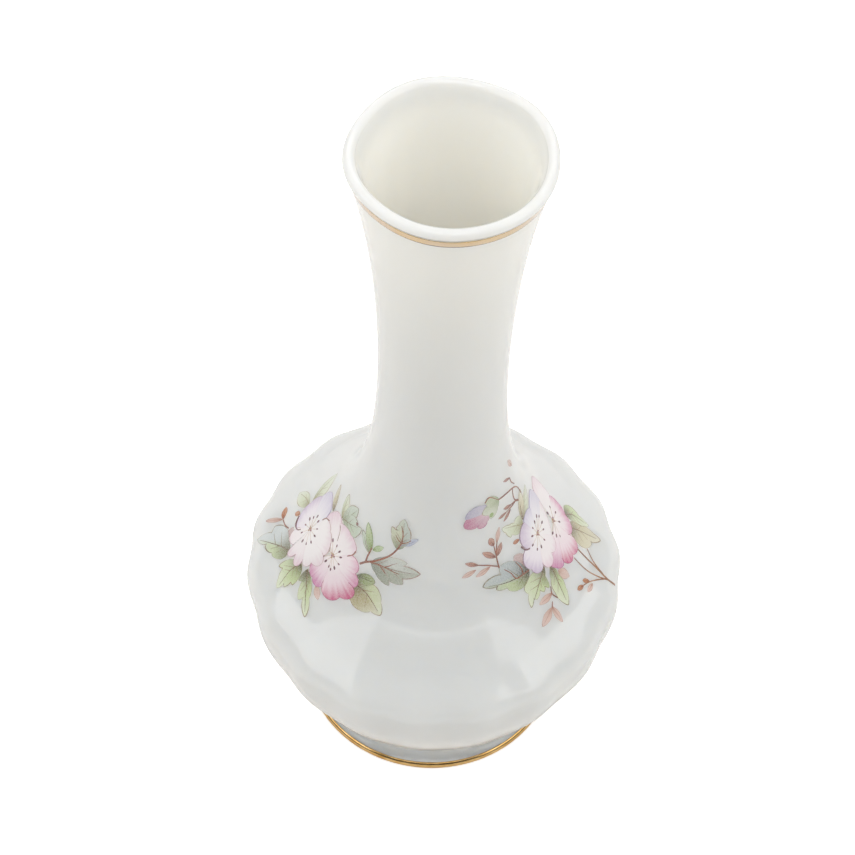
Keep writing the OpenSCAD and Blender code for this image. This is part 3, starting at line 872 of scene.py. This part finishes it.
# %% Back
sheet, centre = "back_pink_blossom", (181, 71)
FIVE = (("orchid", 0.6), ("pink", 0.5), ("blush", 0.4), ("blush", 0.4), ("pink", 0.5))
for k, (tone, depth) in enumerate(FIVE):
    middle = 180 + 72 * k

    def at(angle, reach):
        place = heading(angle) * reach
        return (centre[0] + math.degrees(place[0] / 35), centre[1] + place[1])

    petal(sheet, centre, [at(middle - 33, 6.4), at(middle, 7.4), at(middle + 33, 6.4)],
          [1.5, 1.5], tone, 0.09 + 0.02 * (k % 3), depth, seed=k)
ring = [at(33 * k, 3 + 0.3 * (k % 2)) for k in range(11)]
anthers(sheet, centre, ring, lift=0.17)

sheet = "back_leaves"
for spine, bulge, tone in (
        ([(171, 68), (160, 63), (153, 60)], 0.22, "green"),
        ([(190, 69), (200, 66), (209, 61)], 0.2, "green_olive"),
        ([(182, 64), (186, 59), (187, 53)], 0.22, "green"),
        ([(176, 64), (171, 59), (165, 56)], 0.18, "green_blue"),
        ([(172, 76), (162, 79), (154, 84)], 0.2, "green_grey"),
        ([(190, 76), (198, 80), (203, 85)], 0.2, "pale"),
        ([(216, 80.5), (222, 80), (229, 80.5)], 0.2, "grey")):
    leaf(sheet, spine, bulge=bulge, tone=tone)

sheet = "back_twigs"
stem(sheet, [(191, 73), (200, 75), (209, 78), (217, 80.6)], 0.5)
stem(sheet, [(205, 76.6), (209, 80), (211, 84.5)], 0.4)
stem(sheet, [(172, 71), (162, 71), (153, 73.5)], 0.4)
for spine in ([(211, 84), (210, 89)], [(208, 80), (214, 83.4)], [(154, 73.2), (147, 76)],
              [(160, 71), (154, 69)]):
    leaf(sheet, spine, bulge=0.18, tone="brown", veins=1)

# %% [markdown]
# ## On-glaze enamel
#
# On-glaze enamel is a soft coloured glass, printed as fine dots and fired at a lower heat than
# the glaze, so it is a little less glossy and stands up by a hair. The drawing's own paint gives
# the colour, and fine grain between thin and thick colour stands for the dots of the print.


# %% Enamel
def enamel_finish(name, grain, rough):
    made, tree, shader = finish("printed on-glaze enamel, " + name)
    where = add(tree, "ShaderNodeTexCoord").outputs["Object"]
    paint = add(tree, "ShaderNodeAttribute", attribute_name="paint").outputs["Color"]
    # The print's dots are 0.1 mm, drawn here as grain of 0.25 mm so that it can be seen
    dots = add(tree, "ShaderNodeTexNoise", {
        "Vector": where, "Scale": 1 / (0.25 * MM), "Detail": 1.0})
    thin = ranged(tree, dots.outputs["Fac"], 0.0, grain, 0.35, 0.65)
    wear = ranged(tree, dots.outputs["Fac"], rough, rough + 0.08)
    tree.links.new(mixed(tree, thin, paint, "#F0EEE8"), shader.inputs["Base Color"])
    tree.links.new(wear, shader.inputs["Roughness"])
    shader.inputs["IOR"].default_value = 1.5
    return made


ENAMELS = {
    "mauve": enamel_finish("mauve", 0.25, 0.12),
    "pink": enamel_finish("pink", 0.25, 0.12),
    "green": enamel_finish("leaf green", 0.3, 0.14),
    "brown": enamel_finish("twig brown", 0.2, 0.16),
}

# %% Enamel pieces
PAINTS = {"mauve_blossom": "mauve", "pink_blossom": "pink", "bud": "pink", "leaves": "green",
          "twigs": "brown"}


def painted(sheet):
    """One plain mesh for a sheet of films, with its paint and its sharp rims."""
    store = sheets[sheet]
    points, faces, rims = (np.concatenate(store[key]) for key in ("points", "faces", "rims"))
    mesh = bpy.data.meshes.new(sheet + "_enamel")
    mesh.from_pydata(points.tolist(), [], faces.tolist())
    paint = np.concatenate(store["paint"])
    colours = np.hstack([paint, np.ones((len(paint), 1))]).astype(np.float32)
    mesh.attributes.new("paint", "FLOAT_COLOR", "POINT").data.foreach_set("color", colours.ravel())
    mesh.shade_smooth()
    ends = np.empty(2 * len(mesh.edges), np.int64)
    mesh.edges.foreach_get("vertices", ends)
    ends, rims = (np.sort(pairs.reshape(-1, 2)) for pairs in (ends, rims))
    sharp = np.isin(ends @ [len(points), 1], rims @ [len(points), 1])
    mesh.attributes.new("sharp_edge", "BOOLEAN", "EDGE").data.foreach_set("value", sharp)
    paint_name = PAINTS[sheet.split("_", 1)[1]]
    mesh.materials.append(ENAMELS[paint_name])
    piece = put(sheet + "_enamel", mesh)
    # The film is glass, so it lets light into the clay under it
    piece.visible_shadow = False
    return piece, paint_name + "_enamel"


places = [(body, "vase_body", "porcelain"), (lip_gold, "lip_gilding", "gilding"),
          (foot_gold, "foot_gilding", "gilding")]
for sheet in sheets:
    piece, slot = painted(sheet)
    places.append((piece, sheet, slot))
    print(f"{piece.name}: {len(piece.data.polygons)} faces")
for piece, node, slot in places:
    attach(piece, "root")
    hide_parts(node)

# %% [markdown]
# ## Table, light and camera
#
# Glazed porcelain shows the room. A white tent that is dark near the table, with soft lights on
# both sides, behind and overhead, gives bright flanks, and leaves the front of the neck and the
# shoulder a soft grey. A thin strip at the tent's open front draws a line on the shoulder. The
# table and the tent are lit to pure white where the camera sees them straight on. The camera
# looks down on the vase at about 53 degrees with a long lens.


# %% Table
def stage_finish():
    made, tree, shader = finish("white melamine table")
    where = add(tree, "ShaderNodeTexCoord").outputs["Object"]
    cloud = add(tree, "ShaderNodeTexNoise", {"Vector": where, "Scale": 3.0})
    tint = mixed(tree, cloud.outputs["Fac"], "#F6F4F1", "#F4F2EF")
    tree.links.new(tint, shader.inputs["Base Color"])
    shader.inputs["Roughness"].default_value = 0.6
    # Seen straight on it is lit to pure white, and what it throws back at the vase is greyer
    seen = add(tree, "ShaderNodeLightPath").outputs["Is Camera Ray"]
    tree.links.new(calc(tree, "MULTIPLY", seen, 0.6), shader.inputs["Emission Strength"])
    shader.inputs["Emission Color"].default_value = (1, 1, 1, 1)
    return made


def sheet_of(name, width, depth):
    """A flat rectangle about the origin, facing up."""
    mesh = bpy.data.meshes.new(name)
    corners = [(x * width / 2, y * depth / 2, 0) for x, y in ((-1, -1), (1, -1), (1, 1), (-1, 1))]
    mesh.from_pydata(corners, [], [(0, 1, 2, 3)])
    return mesh


table = sheet_of("table", 6, 6)
table.materials.append(stage_finish())
put("table", table)

# %% Lights
world = bpy.data.worlds.new("white tent")
bpy.context.scene.world = world
world.use_nodes = True
tent = world.node_tree
way = add(tent, "ShaderNodeTexCoord").outputs["Generated"]
height = add(tent, "ShaderNodeSeparateXYZ", {0: way}).outputs["Z"]
level = ranged(tent, height, 0.02, 0.74, 0.35, 0.8)
# Seen straight on, past the table, the tent is plain white
seen = add(tent, "ShaderNodeLightPath").outputs["Is Camera Ray"]
tent.links.new(calc(tent, "MAXIMUM", level, seen), tent.nodes["Background"].inputs["Strength"])
tent.nodes["Background"].inputs["Color"].default_value = (1, 1, 1, 1)


def facing_vase(azimuth, elevation, distance):
    """A place in the tent, turned so that its -Z looks at the middle of the vase."""
    a, e = math.radians(azimuth), math.radians(elevation)
    way = Vector((math.sin(a) * math.cos(e), -math.cos(a) * math.cos(e), math.sin(e)))
    middle = Vector((0, 0, HEIGHT / 2 * MM))
    turn = way.to_track_quat("Z", "Y").to_matrix().to_4x4()
    return Matrix.Translation(middle + distance * way) @ turn


def softbox(name, azimuth, elevation, size, radiance, distance=1.3):
    """A soft rectangular light aimed at the middle of the vase."""
    data = bpy.data.lights.new(name, "AREA")
    data.shape = "RECTANGLE"
    data.size, data.size_y = size
    data.energy = radiance * math.pi * size[0] * size[1]
    light = put(name, data)
    light.matrix_world = facing_vase(azimuth, elevation, distance)
    light.visible_camera = False
    print(f"{name}: {data.energy:.1f} W")


# Azimuth and elevation in degrees, width and depth in metres, and radiance
softbox("left light", -75, 32, (1.8, 0.8), 1.65)
softbox("right light", 75, 32, (1.8, 0.8), 1.65)
softbox("back light", 180, 35, (1.4, 0.8), 1.2)
softbox("top light", 0, 66, (0.8, 0.5), 3.1)
softbox("low strip light", 0, 19, (2.2, 0.035), 2.0)

# %% Dark card
# It stands for the tent's dark open side, a greyer patch in the glaze of the shoulder
card_mesh = sheet_of("dark card", 1.3, 0.36)
card_mesh.transform(facing_vase(0, 34, 0.8))
black_cloth, _, cloth_shader = finish("black cloth")
cloth_shader.inputs["Base Color"].default_value = (*linear("#383838"), 1)
cloth_shader.inputs["Roughness"].default_value = 1.0
card_mesh.materials.append(black_cloth)
card = put("dark card", card_mesh)
card.visible_camera = False

# %% Camera
# A full-frame sensor and its lens, in mm, and a camera held a little out of level
FULL_FRAME = 36
FOCAL = 117.9
ROLLED = 2.16
lens = bpy.data.cameras.new("camera")
lens.sensor_width = FULL_FRAME
lens.lens = FOCAL
camera = put("camera", lens)
stand = Vector((0, -0.399, 0.63325))
aim = Vector((-0.00305, 0, 0.10413))
facing = (aim - stand).to_track_quat("-Z", "Y").to_matrix().to_4x4()
camera.matrix_world = (
    Matrix.Translation(stand) @ facing @ Matrix.Rotation(math.radians(ROLLED), 4, "Z"))
bpy.context.scene.camera = camera
bpy.context.scene.view_settings.view_transform = "Standard"

# %% The end
bpy.context.view_layer.update()
